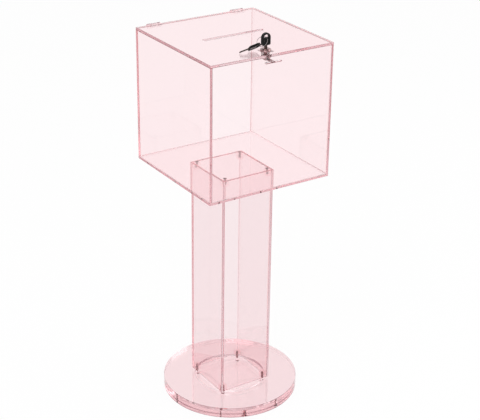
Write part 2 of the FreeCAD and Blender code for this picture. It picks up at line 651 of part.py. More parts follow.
os.makedirs("parts", exist_ok=True)
for thing in nodes:
    thing.Shape.exportStep(f"parts/{thing.Label}.step")
    print(thing.Label, len(thing.Shape.Solids), "solid(s),", round(thing.Shape.Volume), "mm3")
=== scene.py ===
# %% [markdown]
# # A clear acrylic ballot box on a stand
#
# The real thing is glued up from clear acrylic sheet with a faint rose tint. Light that enters a
# sheet leaves mostly at its edges, so the faces look almost empty and every cut edge draws a
# deeper rose line. The model comes from CAD as a frame, and this lesson dresses it: each sheet
# gets its softened edges, each fitting its finish.

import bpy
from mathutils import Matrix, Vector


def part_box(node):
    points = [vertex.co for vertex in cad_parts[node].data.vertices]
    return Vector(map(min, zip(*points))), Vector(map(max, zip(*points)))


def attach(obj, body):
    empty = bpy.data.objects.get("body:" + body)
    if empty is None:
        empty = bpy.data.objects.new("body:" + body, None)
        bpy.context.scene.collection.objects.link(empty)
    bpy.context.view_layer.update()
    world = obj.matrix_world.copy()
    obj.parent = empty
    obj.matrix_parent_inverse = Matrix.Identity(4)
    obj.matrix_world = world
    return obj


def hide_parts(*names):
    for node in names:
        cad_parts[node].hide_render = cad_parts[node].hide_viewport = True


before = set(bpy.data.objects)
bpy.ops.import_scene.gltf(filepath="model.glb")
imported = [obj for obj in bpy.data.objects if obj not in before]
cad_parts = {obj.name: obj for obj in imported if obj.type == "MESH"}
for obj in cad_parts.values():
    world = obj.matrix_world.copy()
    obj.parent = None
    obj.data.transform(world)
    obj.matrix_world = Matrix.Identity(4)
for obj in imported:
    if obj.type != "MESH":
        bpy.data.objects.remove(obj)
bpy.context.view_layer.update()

# %% [markdown]
# ## Small habits at the workbench
#
# Operators act on everything that is selected, and loading the frame leaves its nodes selected.
# So each step starts by picking up one object and nothing else. Sizes are written in millimetres
# and turned into metres in one place.

# %% Picking up one object, and sizes in millimetres
import math

import bpy
from mathutils import Matrix, Vector

MM = 0.001


def mm(*values):
    """Millimetres to metres."""
    return tuple(value * MM for value in values)


def pick(piece):
    """Selects one object and makes it the active one."""
    bpy.ops.object.select_all(action="DESELECT")
    piece.select_set(True)
    bpy.context.view_layer.objects.active = piece


def settle(piece):
    """Puts a piece's place, turn and size into its mesh, so that the object sits at the origin."""
    pick(piece)
    bpy.ops.object.transform_apply(location=True, rotation=True, scale=True)


def corners(node):
    """Lowest and highest corner of a CAD node in millimetres."""
    low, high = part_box(node)
    return [value / MM for value in low], [value / MM for value in high]


pick(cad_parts["lid_panel"])
print("picked up", bpy.context.object.name, "which lies between", *corners("lid_panel"))

# %% [markdown]
# ## From block to sheet
#
# A sheet starts as a block of its own size. Glued sheets touch, and two clear faces in exactly
# the same place confuse a renderer, so each block is made a twentieth of a millimetre smaller all
# round. That thin gap is also what the eye sees as a fine line in a glued joint.

# %% Blocks and round bars at their place
JOINT = 0.05


def new_block(name, low, high, shrink=JOINT):
    """Block between two corners in millimetres, a little smaller all round."""
    bpy.ops.object.select_all(action="DESELECT")
    centre = [(a + b) / 2 for a, b in zip(low, high)]
    size = [b - a - 2 * shrink for a, b in zip(low, high)]
    bpy.ops.mesh.primitive_cube_add(size=1, location=mm(*centre))
    block = bpy.context.object
    block.name = name
    block.scale = mm(*size)
    settle(block)
    return block


def new_bar(name, radius, foot, top, x=0, y=0, sides=96):
    """Upright round bar between two heights in millimetres."""
    bpy.ops.object.select_all(action="DESELECT")
    bpy.ops.mesh.primitive_cylinder_add(vertices=sides, radius=radius * MM, depth=(top - foot) * MM,
                                        location=mm(x, y, (foot + top) / 2))
    bar = bpy.context.object
    bar.name = name
    settle(bar)
    return bar


print("gap in a glued joint:", 2 * JOINT, "mm")

# %% [markdown]
# ## Cutting and softening
#
# Slots and holes are milled: a cutter is subtracted and thrown away. A cutter stands out a little
# on both sides of what it cuts, so that no two faces lie in the same place. Then every sharp edge
# gets the small flat that a polisher leaves, because a perfectly sharp edge never catches the
# light. Only round walls are shaded smoothly: a flat clear face has to stay flat to the eye, or it
# bends the view like a lens.

# %% Milling and joining
SPARE = 1
SLOT_CUTTER_HALF = 10


def finish_with(piece, kind, **settings):
    """Adds a modifier, sets it and applies it."""
    pick(piece)
    modifier = piece.modifiers.new(kind.lower(), kind)
    for name, value in settings.items():
        setattr(modifier, name, value)
    bpy.ops.object.modifier_apply(modifier=modifier.name)


def mill(piece, *cutters):
    """Takes the cutters away from a piece."""
    for cutter in cutters:
        finish_with(piece, "BOOLEAN", operation="DIFFERENCE", object=cutter, solver="EXACT")
        bpy.data.objects.remove(cutter)


def weld_on(piece, *others):
    """Makes one solid of a piece and the others."""
    for other in others:
        finish_with(piece, "BOOLEAN", operation="UNION", object=other, solver="EXACT")
        bpy.data.objects.remove(other)


def slot_cutter(length, width, centre, through="Z"):
    """Cutter with round ends for a slot through a sheet, in millimetres."""
    reach, half = (length - width) / 2, SLOT_CUTTER_HALF
    cutter = new_block("slot_cutter", (-reach, -width / 2, -half), (reach, width / 2, half),
                       shrink=0)
    for side in (-1, 1):
        weld_on(cutter, new_bar("slot_end", width / 2, -half, half, x=side * reach, sides=48))
    if through == "Y":
        cutter.rotation_euler = (math.radians(90), 0, 0)
    cutter.location = mm(*centre)
    settle(cutter)
    return cutter


print("a cutter stands out by", SPARE, "mm")

# %% Softening edges
SHARP_EDGE, SHEET_SMOOTH, SQUARE_FACE = 35, 15, 0.9999


def smooth(piece, below):
    """Shades a piece smoothly where its faces meet at less than this many degrees."""
    pick(piece)
    bpy.ops.object.shade_smooth_by_angle(angle=math.radians(below))


def soften(piece, width, segments=2, smooth_below=SHEET_SMOOTH):
    """Bevels the sharp edges in millimetres, and keeps the flat faces flat to the eye."""
    finish_with(piece, "BEVEL", width=width * MM, segments=segments, limit_method="ANGLE",
                angle_limit=math.radians(SHARP_EDGE))
    smooth(piece, smooth_below)
    for face in piece.data.polygons:
        if max(abs(value) for value in face.normal) > SQUARE_FACE:
            face.use_smooth = False


print("edges sharper than", SHARP_EDGE, "degrees get softened")

# %% [markdown]
# ## Building with nodes
#
# A finish is a small net of nodes: a noise that wanders over the piece, numbers that are spread
# and multiplied, and colours blended between two others. Each gets a helper, so that a finish
# reads like a recipe.

# %% Helpers for nodes
def new_material(name):
    """Empty material: itself, the node tree to build in, its shader and its output."""
    material = bpy.data.materials.new(name)
    material.use_nodes = True
    tree = material.node_tree
    tree.nodes.clear()
    output = tree.nodes.new("ShaderNodeOutputMaterial")
    shader = tree.nodes.new("ShaderNodeBsdfPrincipled")
    tree.links.new(shader.outputs["BSDF"], output.inputs["Surface"])
    return material, tree, shader, output


def noise(tree, scale, detail=3.0, stretch=(1, 1, 1)):
    """Noise over the piece's own coordinates in metres, stretched along an axis if wanted."""
    place = tree.nodes.new("ShaderNodeTexCoord")
    mapping = tree.nodes.new("ShaderNodeMapping")
    mapping.inputs["Scale"].default_value = stretch
    texture = tree.nodes.new("ShaderNodeTexNoise")
    texture.inputs["Scale"].default_value = scale
    texture.inputs["Detail"].default_value = detail
    tree.links.new(place.outputs["Object"], mapping.inputs["Vector"])
    tree.links.new(mapping.outputs["Vector"], texture.inputs["Vector"])
    return texture.outputs["Fac"]


def spread(tree, value, low, high, from_low=0.3, from_high=0.7):
    """Spreads a number, such as a noise, between two others."""
    node = tree.nodes.new("ShaderNodeMapRange")
    limits = {"From Min": from_low, "From Max": from_high, "To Min": low, "To Max": high}
    for name, number in limits.items():
        node.inputs[name].default_value = number
    tree.links.new(value, node.inputs["Value"])
    return node.outputs["Result"]


def plug_in(tree, value, socket):
    """Links a socket to an input, or writes a plain number or colour there."""
    if isinstance(value, bpy.types.NodeSocket):
        tree.links.new(value, socket)
    else:
        socket.default_value = value


def blend_colours(tree, factor, first, second, blend_type="MIX"):
    """Colour between two colours, or two colours multiplied."""
    node = tree.nodes.new("ShaderNodeMix")
    node.data_type, node.blend_type = "RGBA", blend_type
    for value, socket in ((factor, "Factor"), (first, 6), (second, 7)):
        plug_in(tree, value, node.inputs[socket])
    return node.outputs[2]


def calculate(tree, operation, first, second):
    """Math node between two numbers."""
    node = tree.nodes.new("ShaderNodeMath")
    node.operation = operation
    for value, socket in zip((first, second), node.inputs):
        plug_in(tree, value, socket)
    return node.outputs[0]


def mark(tree, name):
    """Reads a number that a piece carries on its faces."""
    node = tree.nodes.new("ShaderNodeAttribute")
    node.attribute_name = name
    return node.outputs["Fac"]


print("node helpers are ready")

# %% [markdown]
# ## The acrylic
#
# Cast acrylic bends light a little less than glass (refractive index 1.49). The tint sits in three
# places. A face looked at squarely is almost colourless and grows rosier the flatter it is looked
# at, which the Facing value of a Layer Weight gives. The body swallows a little green and blue on
# the way, so the thick base comes out deeper. And every piece carries a number on its faces for
# tint and painted shade: none on polished faces, some rose tint on cut edges, and most on the
# narrow flat that a scraper leaves along an edge. That flat sends the light off sideways and reads
# as a dark line, which is painted here as shade: the number darkens the flat's colour towards a
# deep rose. A second number, called dull, makes cut and milled faces satin.

# %% Mixing the acrylic
SQUARE_TINT, GRAZING_TINT = (1.0, 0.984, 0.987, 1), (0.99, 0.725, 0.75, 1)
NO_TINT, DEEP_TINT_AND_SHADE = (1, 1, 1, 1), (0.29, 0.14, 0.18, 1)
BODY_TINT, BODY_DENSITY = (0.90, 0.40, 0.46, 1), 2.5
CLOUD_SCALE, CLOUD_LOW = 9, 0.94
SQUARE_STRENGTH, GRAZING_STRENGTH, GRAZING_FULL = 0.5, 3.0, 0.64
WIPE_SCALE, WIPE_STRETCH, WIPE_DULL = 60, (1, 0.3, 0.6), 0.008
WIPE_FROM, WIPE_FULL = 0.55, 0.8


def acrylic_material(name, bending):
    """Clear rose acrylic that reads two numbers from the faces of a piece: a tint that also paints
    shade, and "dull".
    """
    material, tree, shader, output = new_material(name)
    shader.inputs["Transmission Weight"].default_value = 1
    shader.inputs["IOR"].default_value = bending
    weight = tree.nodes.new("ShaderNodeLayerWeight")
    weight.inputs["Blend"].default_value = 0.5
    slant = weight.outputs["Facing"]
    face = blend_colours(tree, slant, SQUARE_TINT, GRAZING_TINT)
    cloud = spread(tree, noise(tree, CLOUD_SCALE, 2), CLOUD_LOW, 1.0)
    strength = calculate(tree, "MULTIPLY", mark(tree, "tint_and_shade"), cloud)
    steepness = spread(tree, calculate(tree, "POWER", slant, 2.0),
                       SQUARE_STRENGTH, GRAZING_STRENGTH, 0.0, GRAZING_FULL)
    strength = calculate(tree, "MULTIPLY", strength, steepness)
    # The number blends towards the deep rose: a real tint on cut edges, painted shade on the flats.
    cut = blend_colours(tree, strength, NO_TINT, DEEP_TINT_AND_SHADE)
    tinted_and_shaded = blend_colours(tree, 1.0, face, cut, "MULTIPLY")
    tree.links.new(tinted_and_shaded, shader.inputs["Base Color"])
    wipe = spread(tree, noise(tree, WIPE_SCALE, 4, WIPE_STRETCH), 0.0, WIPE_DULL,
                  WIPE_FROM, WIPE_FULL)
    tree.links.new(calculate(tree, "ADD", wipe, mark(tree, "dull")), shader.inputs["Roughness"])
    body = tree.nodes.new("ShaderNodeVolumeAbsorption")
    body.inputs["Color"].default_value = BODY_TINT
    body.inputs["Density"].default_value = BODY_DENSITY
    tree.links.new(body.outputs["Volume"], output.inputs["Volume"])
    return material


ACRYLIC = acrylic_material("rose_acrylic", 1.49)
BONDED_ACRYLIC = acrylic_material("bonded_rose_acrylic", 1.05)
print("acrylic mixed:", ACRYLIC.name, "and", BONDED_ACRYLIC.name)

# %% [markdown]
# The two numbers are written face by face. A face that looks along the sheet belongs to the
# sheet's cut outline when it lies near it, and else to a slot or a hole. Where two faces meet, a
# slanted face lies between them. That of a free edge is painted dark, as painted shade for the dark
# line that it shows, and that of a slot or a hole a little. A glued edge vanishes in the joint and
# gets no mark.

# %% Marking the faces of a sheet
# The narrow flats' two numbers are painted shade; the cut edges get a deeper rose tint.
ARRIS_PAINTED_SHADE, INNER_ARRIS_PAINTED_SHADE, CUT_TINT, CUT_DULL = 1.0, 0.1, 0.36, 0.03
MILLED_TINT, MILLED_DULL = 0.0, 0.35
SLANTED_BELOW, LOOKS_OUT, LOOKS_ALONG = 0.985, 0.05, 0.5


def slanted(face):
    """True for a face that looks along none of the three axes, such as that of a bevel."""
    return max(abs(value) for value in face.normal) < SLANTED_BELOW


def write_marks(piece, tints_and_shades, dulls):
    """Writes the two numbers of every face."""
    for name, values in (("tint_and_shade", tints_and_shades), ("dull", dulls)):
        piece.data.attributes.new(name, "FLOAT", "FACE").data.foreach_set("value", values)


def outline_near(face, low, high, across):
    """Names of the sheet's outer edges that a face lies at, such as "+x"."""
    near = set()
    for axis, name in enumerate("xyz"):
        if not across[axis] and face.center[axis] - low[axis] < MM:
            near.add("-" + name)
        if not across[axis] and high[axis] - face.center[axis] < MM:
            near.add("+" + name)
    return near


def mark_sheet(piece, across, free, plain=0.0):
    """Marks a sheet's faces. across is its thin direction, and free names the cut edges that stand
    free, such as "+x -y"."""
    low, high = Vector(piece.bound_box[0]), Vector(piece.bound_box[6])
    tints_and_shades, dulls = [], []
    for face in piece.data.polygons:
        tint_and_shade, dull = plain, 0.0
        near = outline_near(face, low, high, across)
        stands_free = near & set(free.split())
        outwards = abs(face.normal.dot(Vector(across)))
        # A slanted flat gets painted shade, full along a free edge and a little in a slot or a
        # hole.
        if slanted(face) and outwards > LOOKS_OUT:
            tint_and_shade = INNER_ARRIS_PAINTED_SHADE if not near else ARRIS_PAINTED_SHADE if stands_free else 0.0
        elif outwards < LOOKS_ALONG and not near:
            tint_and_shade, dull = MILLED_TINT, MILLED_DULL
        elif outwards < LOOKS_ALONG and stands_free:
            tint_and_shade, dull = CUT_TINT, CUT_DULL
        tints_and_shades.append(tint_and_shade)
        dulls.append(dull)
    write_marks(piece, tints_and_shades, dulls)


# The narrow flat's number printed here is painted shade.
print("tint of a free cut edge:", CUT_TINT, "and of its narrow flat:", ARRIS_PAINTED_SHADE)

# %% [markdown]
# A finished piece gets what it is made of and the body it moves with, and the CAD node that it
# stands for is hidden.

# %% Finishing a piece
def give_finish(thing, material):
    """Makes a material the only one on a thing."""
    thing.data.materials.clear()
    thing.data.materials.append(material)


def finished_piece(piece, body, node, material):
    """A finished piece that stands for a CAD node."""
    give_finish(piece, material)
    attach(piece, body)
    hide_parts(node)
    print(piece.name, "faces:", len(piece.data.polygons))


def clear_piece(piece, body, node, material=ACRYLIC):
    """A finished piece of acrylic."""
    finished_piece(piece, body, node, material)


print("clear pieces get", ACRYLIC.name, "unless another is named")

# %% [markdown]
# ## The column and the box
#
# Each sheet takes its corners from the CAD node that it stands for. The side sheets run over the
# full depth, so their ends show at the front, and the front and back sheets stand between them.

# %% Plain sheets of the column and the box
ARRIS = 0.5
COLUMN_TINT = 0.06
SHEETS = {
    "column_left_wall": ((1, 0, 0), "-y +y"),
    "column_right_wall": ((1, 0, 0), "-y +y"),
    "column_front_wall": ((0, 1, 0), ""),
    "column_back_wall": ((0, 1, 0), ""),
    "box_left_wall": ((1, 0, 0), "-y +y +z"),
    "box_right_wall": ((1, 0, 0), "-y +y +z"),
    "box_back_wall": ((0, 1, 0), "+z"),
}
for node, (across, free) in SHEETS.items():
    sheet = new_block(node + "_sheet", *corners(node))
    soften(sheet, ARRIS)
    mark_sheet(sheet, across, free, COLUMN_TINT if node.startswith("column") else 0.0)
    clear_piece(sheet, "stand", node)

# %% [markdown]
# The front sheet has the narrow slot that the lock's cam turns into. It is milled before the edges
# are softened, so the slot gets its polished rim too.

# %% The front sheet with the catch slot
CATCH_LENGTH, CATCH_WIDTH = 40, 3
cam_low, cam_high = corners("lock_cam")
front_low, front_high = corners("box_front_wall")
front = new_block("box_front_sheet", front_low, front_high)
catch_centre = (0, (front_low[1] + front_high[1]) / 2, (cam_low[2] + cam_high[2]) / 2)
mill(front, slot_cutter(CATCH_LENGTH, CATCH_WIDTH, catch_centre, through="Y"))
soften(front, ARRIS)
mark_sheet(front, (0, 1, 0), "+z")
clear_piece(front, "stand", "box_front_wall")

# %% [markdown]
# The lid has the slot for the papers and a round hole for the lock.

# %% The lid
SLOT_LENGTH, SLOT_WIDTH = 150, 8
LOCK_Y, LOCK_HOLE_RADIUS = -120, 9.5
lid_low, lid_high = corners("lid_panel")
lid = new_block("lid_sheet", lid_low, lid_high)
mill(lid, slot_cutter(SLOT_LENGTH, SLOT_WIDTH, (0, 0, (lid_low[2] + lid_high[2]) / 2)),
     new_bar("lock_hole", LOCK_HOLE_RADIUS, lid_low[2] - SPARE, lid_high[2] + SPARE, y=LOCK_Y))
soften(lid, ARRIS)
mark_sheet(lid, (0, 0, 1), "-x +x -y +y")
clear_piece(lid, "lid", "lid_panel")

# %% [markdown]
# The box floor is screwed to the column through four countersunk holes. The cutter for such a hole
# is a bar with a cone welded on.

# %% The box floor
SCREW_PLACES = [(x, y) for x in (-54, 54) for y in (-54, 54)]
HOLE_SIDES, SINK_LAP = 40, 0.02
FLOOR_HOLE_RADIUS, FLOOR_HEAD_RADIUS = 2.2, 4.0


def sink_cutter(x, y, hole_radius, head_radius, low, high, sink_top):
    """Cutter for a hole with a countersink that opens upwards or downwards."""
    depth = head_radius - hole_radius
    cutter = new_bar("hole", hole_radius, low - SPARE, high + SPARE, x, y, sides=HOLE_SIDES)
    bpy.ops.object.select_all(action="DESELECT")
    radii = (hole_radius, head_radius) if sink_top else (head_radius, hole_radius)
    middle = high - depth / 2 if sink_top else low + depth / 2
    bpy.ops.mesh.primitive_cone_add(vertices=HOLE_SIDES, radius1=radii[0] * MM,
                                    radius2=radii[1] * MM, depth=(depth + SINK_LAP) * MM,
                                    location=mm(x, y, middle))
    cone = bpy.context.object
    settle(cone)
    weld_on(cutter, cone)
    return cutter


floor_low, floor_high = corners("box_floor")
box_floor = new_block("box_floor_sheet", floor_low, floor_high)
mill(box_floor, *[sink_cutter(x, y, FLOOR_HOLE_RADIUS, FLOOR_HEAD_RADIUS, floor_low[2],
                              floor_high[2], True) for x, y in SCREW_PLACES])
soften(box_floor, ARRIS)
mark_sheet(box_floor, (0, 0, 1), "-x +x -y +y")
clear_piece(box_floor, "stand", "box_floor")

# %% [markdown]
# ## The round base
#
# Two round sheets are bonded face to face, which draws the line round the rim. The upper one has a
# shallow round relief under the column, so that the column bears only on its four corners; the
# relief's wall is painted dark, a painted shade line. The screws come up from below in countersunk
# holes. A polished rim shows dark lines of shade along its upper and its lower edge, so a narrow
# band is drawn there with an inset and painted darker: painted shade.

# %% Marking a round sheet
BASE_RADIUS, _, BASE_TOP = corners("base_upper_layer")[1]
BASE_SPLIT = corners("base_lower_layer")[1][2]
RELIEF_RADIUS, RELIEF_DEPTH = 82, 6
# The relief's wall and the rim's edge bands get painted shade: their colour is darkened to lines.
TOP_TINT, RIM_TINT, RIM_DULL, RELIEF_PAINTED_SHADE = 0.07, 0.06, 0.07, 1.0
RIM_LINE, RIM_LINE_PAINTED_SHADE, RIM_LINE_REACH = 1.4, 1.0, 2.5
RIM_REACH, TOP_REACH, SPECK_AREA = 2, 1, MM * MM
LOOKS_UP, UPRIGHT_BELOW = 0.99, 0.1


def on_rim(face):
    """True for a face of the disc's outer wall or of its softened edges."""
    return math.hypot(face.center.x, face.center.y) > (BASE_RADIUS - RIM_REACH) * MM


def line_rim(disc):
    """Draws the outer wall in: a narrow band, painted dark as shade, runs along its upper and lower
    edge.
    """
    pick(disc)
    bpy.ops.object.mode_set(mode="EDIT")
    bpy.ops.mesh.select_mode(type="FACE")
    bpy.ops.mesh.select_all(action="DESELECT")
    bpy.ops.object.mode_set(mode="OBJECT")
    for face in disc.data.polygons:
        face.select = abs(face.normal.z) < UPRIGHT_BELOW and on_rim(face)
    bpy.ops.object.mode_set(mode="EDIT")
    bpy.ops.mesh.inset(thickness=RIM_LINE * MM, depth=0)
    bpy.ops.mesh.select_mode(type="VERT")
    bpy.ops.object.mode_set(mode="OBJECT")


def disc_marks(face):
    """Tint, painted shade and dullness of one face of a round sheet."""
    height = face.center.z / MM
    if abs(face.normal.z) > LOOKS_UP:
        return (TOP_TINT if height > BASE_TOP - TOP_REACH else 0.0), 0.0
    if abs(face.normal.z) >= UPRIGHT_BELOW:
        return ARRIS_PAINTED_SHADE, 0.0
    if on_rim(face):
        to_edge = min(abs(height - edge) for edge in (0, BASE_SPLIT, BASE_TOP))
        return (RIM_LINE_PAINTED_SHADE if to_edge < RIM_LINE_REACH else RIM_TINT), RIM_DULL
    # The relief's wall is painted dark: a painted shade line round the recess.
    in_relief = height > BASE_TOP - RELIEF_DEPTH and face.area > SPECK_AREA
    return (RELIEF_PAINTED_SHADE if in_relief else 0.0), 0.0


def mark_disc(disc):
    """Marks every face of a round sheet."""
    tints_and_shades, dulls = zip(*[disc_marks(face) for face in disc.data.polygons])
    write_marks(disc, tints_and_shades, dulls)


print("base radius:", round(BASE_RADIUS, 2), "split at:", round(BASE_SPLIT, 2), "mm")

# %% The two layers of the base
DISC_SIDES, RELIEF_SIDES = 256, 160
BASE_HOLE_RADIUS, BASE_HEAD_RADIUS, HEAD_SUNK = 2.7, 4.95, 0.9
HOLE_FOOT, HOLE_TOP, RELIEF_SPARE = 0, 40, 5
LOWER_ARRIS, UPPER_ARRIS = 0.9, 0.6
lower = new_bar("base_lower_disc", BASE_RADIUS - JOINT, JOINT, BASE_SPLIT - JOINT, sides=DISC_SIDES)
mill(lower, *[sink_cutter(x, y, BASE_HOLE_RADIUS, BASE_HEAD_RADIUS, HEAD_SUNK, BASE_SPLIT, False)
              for x, y in SCREW_PLACES])
soften(lower, LOWER_ARRIS)
line_rim(lower)
mark_disc(lower)
clear_piece(lower, "stand", "base_lower_layer")

upper = new_bar("base_upper_disc", BASE_RADIUS - JOINT, BASE_SPLIT + JOINT, BASE_TOP - JOINT,
                sides=DISC_SIDES)
relief = new_bar("relief", RELIEF_RADIUS, BASE_TOP - RELIEF_DEPTH, BASE_TOP + RELIEF_SPARE,
                 sides=RELIEF_SIDES)
mill(upper, relief, *[new_bar("hole", BASE_HOLE_RADIUS, HOLE_FOOT, HOLE_TOP, x, y,
                              sides=HOLE_SIDES) for x, y in SCREW_PLACES])
soften(upper, UPPER_ARRIS, 3)
line_rim(upper)
mark_disc(upper)
clear_piece(upper, "stand", "base_upper_layer")

# %% [markdown]
# ## Blocks in the corners of the column
#
# Small clear blocks are bonded into the corners of the column at both ends. Each has a threaded
# hole that takes a screw. At each end one block is made and three copies, each with a mesh of its
# own, are carried to the other corners. The solvent joins them to the sheets so well that almost
# nothing of them shows, so their acrylic bends the light hardly at all here.

# %% The corner blocks
BLOCK_HALF, BLOCK_GAP, BLOCK_ARRIS = 6, 0.1, 0.3


def copy_of(piece, name):
    """Copy of a piece with a mesh of its own."""
    pick(piece)
    bpy.ops.object.duplicate(linked=False)
    bpy.context.object.name = name
    return bpy.context.object


def corner_blocks(node, bore_foot, bore_top, bore_radius):
    """Four clear blocks with a bore each, in one piece."""
    low, high = corners(node)
    first_x, first_y = SCREW_PLACES[0]
    first = new_block(node + "_clear", (first_x - BLOCK_HALF, first_y - BLOCK_HALF, low[2]),
                      (first_x + BLOCK_HALF, first_y + BLOCK_HALF, high[2]), shrink=BLOCK_GAP)
    mill(first, new_bar("bore", bore_radius, bore_foot, bore_top, first_x, first_y, sides=32))
    soften(first, BLOCK_ARRIS)
    copies = []
    for x, y in SCREW_PLACES[1:]:
        copy = copy_of(first, "block_copy")
        copy.location = mm(x - first_x, y - first_y, 0)
        settle(copy)
        copies.append(copy)
    pick(first)
    for copy in copies:
        copy.select_set(True)
    bpy.ops.object.join()
    unmarked = [0.0] * len(first.data.polygons)
    write_marks(first, unmarked, unmarked)
    clear_piece(first, "stand", node, BONDED_ACRYLIC)


corner_blocks("column_foot_blocks", bore_foot=20, bore_top=36.9, bore_radius=2.6)
corner_blocks("column_top_blocks", bore_foot=538, bore_top=560, bore_radius=2.1)

# %% [markdown]
# ## The two hinges
#
# The hinges are clear as well, each with a steel pin. A leaf is a thin plate that carries round
# knuckles, joined to it by a short tab. Plate, tab and knuckle are made one solid, the bore for
# the pin is milled through, and the edges are softened.

# %% Making a hinge leaf
LEAF, LEAF_ARRIS, LEAF_SMOOTH = 1.5, 0.12, 12
KNUCKLE_RADIUS, PIN_BORE, KNUCKLE_GAP, MIDDLE_KNUCKLE = 2.0, 1.05, 0.3, 15.4
# The leaf's narrow flats get painted shade; the knuckle's round wall gets a rose tint.
LEAF_ARRIS_PAINTED_SHADE, KNUCKLE_TINT, KNUCKLE_FACE_AREA = 1.0, 0.4, 3 * MM * MM


def lying_bar(name, radius, left, right, y, z, sides=48):
    """Round bar along X."""
    bar = new_bar(name, radius, left, right, sides=sides)
    bar.rotation_euler = (0, math.radians(90), 0)
    bar.location = mm(0, y, z)
    settle(bar)
    return bar


def mark_leaf(leaf):
    """Marks a hinge leaf: clear plate, narrow flats painted darker as shade, and a rosy knuckle."""
    tints_and_shades = []
    for face in leaf.data.polygons:
        round_wall = abs(face.normal.x) < 0.01 and face.area > KNUCKLE_FACE_AREA
        slanted_tint_and_shade = KNUCKLE_TINT if round_wall else LEAF_ARRIS_PAINTED_SHADE
        tints_and_shades.append(slanted_tint_and_shade if slanted(face) else 0.0)
    write_marks(leaf, tints_and_shades, [0.0] * len(tints_and_shades))


def hinge_leaf(node, body, plate, knuckles, axis):
    """Plate with its tabs and knuckles, bored for the pin."""
    plate_low, plate_high = plate
    leaf = new_block(node + "_clear", plate_low, plate_high, shrink=0)
    for left, right, tab_low, tab_high in knuckles:
        weld_on(leaf, new_block("tab", (left, *tab_low), (right, *tab_high), shrink=0),
                lying_bar("knuckle", KNUCKLE_RADIUS, left, right, *axis))
    mill(leaf, lying_bar("bore", PIN_BORE, plate_low[0] - SPARE, plate_high[0] + SPARE, *axis,
                         sides=32))
    soften(leaf, LEAF_ARRIS, smooth_below=LEAF_SMOOTH)
    mark_leaf(leaf)
    clear_piece(leaf, body, node)


print("knuckle of a hinge:", 2 * KNUCKLE_RADIUS, "mm thick")

# %% [markdown]
# The leaf on the box has a knuckle at each end and stands upright on the back wall. The leaf on the
# lid lies flat and has the one in the middle.

# %% The four hinge leaves
for side in ("left", "right"):
    low, high = corners(f"{side}_hinge_box_leaf")
    axis_y, axis_z = high[1] - KNUCKLE_RADIUS, high[2] - KNUCKLE_RADIUS
    plate_top = axis_z - KNUCKLE_RADIUS - KNUCKLE_GAP
    outer = (high[0] - low[0] - MIDDLE_KNUCKLE) / 2 - KNUCKLE_GAP
    tab = (low[1] + KNUCKLE_GAP, plate_top), (axis_y, axis_z)
    hinge_leaf(f"{side}_hinge_box_leaf", "stand", (low, (high[0], low[1] + LEAF, plate_top)),
               [(low[0], low[0] + outer, *tab), (high[0] - outer, high[0], *tab)],
               (axis_y, axis_z))
    lid_leaf_low, lid_leaf_high = corners(f"{side}_hinge_lid_leaf")
    middle = (low[0] + high[0]) / 2
    tab = (low[1], axis_z), (axis_y, axis_z + LEAF)
    hinge_leaf(f"{side}_hinge_lid_leaf", "lid",
               ((lid_leaf_low[0], lid_leaf_low[1], axis_z),
                (lid_leaf_high[0], low[1], axis_z + LEAF)),
               [(middle - MIDDLE_KNUCKLE / 2, middle + MIDDLE_KNUCKLE / 2, *tab)],
               (axis_y, axis_z))

# %% [markdown]
# ## Metals and plastic
#
# The lock is zinc with a chrome face, the cam and clip are plain steel, the screws are browned, the
# hinge pins are a pale rose metal, the ring is dark steel wire, and the keys have dark metal blades
# and black plastic bows. The rose cast in every metal's colour is a painted reflection, standing in
# for the rosy acrylic that the metal mirrors and is seen through. A metal shows its making in how
# rough it is and in which direction: a pressed strip or a drawn pin has lines along it, a cast face
# has none.

# %% Mixing a material with a grain
GRAIN_HEIGHT, BROAD_BY = 0.1 * MM, 12


def grained(name, dark, light, roughness, grain_scale, grain_stretch=(1, 1, 1), metallic=1.0,
            bump=0.0, shine=0.5):
    """Material whose colour and roughness both wander with a fine grain."""
    material, tree, shader, _ = new_material(name)
    shader.inputs["Metallic"].default_value = metallic
    shader.inputs["Specular IOR Level"].default_value = shine
    grain = noise(tree, grain_scale, 4, grain_stretch)
    broad = spread(tree, noise(tree, grain_scale / BROAD_BY, 2), 0, 1)
    colour = blend_colours(tree, broad, (*dark, 1), (*light, 1))
    tree.links.new(colour, shader.inputs["Base Color"])
    tree.links.new(spread(tree, grain, *roughness), shader.inputs["Roughness"])
    if bump:
        ridges = tree.nodes.new("ShaderNodeBump")
        ridges.inputs["Strength"].default_value = bump
        ridges.inputs["Distance"].default_value = GRAIN_HEIGHT
        tree.links.new(grain, ridges.inputs["Height"])
        tree.links.new(ridges.outputs["Normal"], shader.inputs["Normal"])
    return material


print("the grain stands up by", GRAIN_HEIGHT, "m at most")

# %% The metals and the black plastic
ALONG_X, ALONG_Y, ALONG_Z = (0.08, 1, 1), (1, 0.08, 1), (1, 1, 0.08)
# Every metal's colours carry a rose cast, a painted reflection of the rosy acrylic around it.
CHROME = grained("chrome", (0.27, 0.17, 0.17), (0.40, 0.27, 0.27), (0.08, 0.2), 900, bump=0.1)
STEEL = grained("steel", (0.28, 0.16, 0.17), (0.40, 0.25, 0.26), (0.22, 0.42), 1500, ALONG_Y,
                bump=0.25)
PIN_STEEL = grained("rose_cast_pin_steel", (0.80, 0.58, 0.60), (0.90, 0.70, 0.72), (0.45, 0.6),
                    1500, ALONG_X, bump=0.2)
BROWN_STEEL = grained("browned_steel", (0.28, 0.15, 0.16), (0.42, 0.25, 0.265), (0.25, 0.45),
                      1200, bump=0.2)
RING_STEEL = grained("ring_steel", (0.15, 0.13, 0.13), (0.28, 0.25, 0.25), (0.2, 0.35), 1500,
                     bump=0.2)
KEY_METAL = grained("key_metal", (0.07, 0.055, 0.05), (0.16, 0.125, 0.11), (0.2, 0.4), 1400,
                    ALONG_Z, bump=0.25)
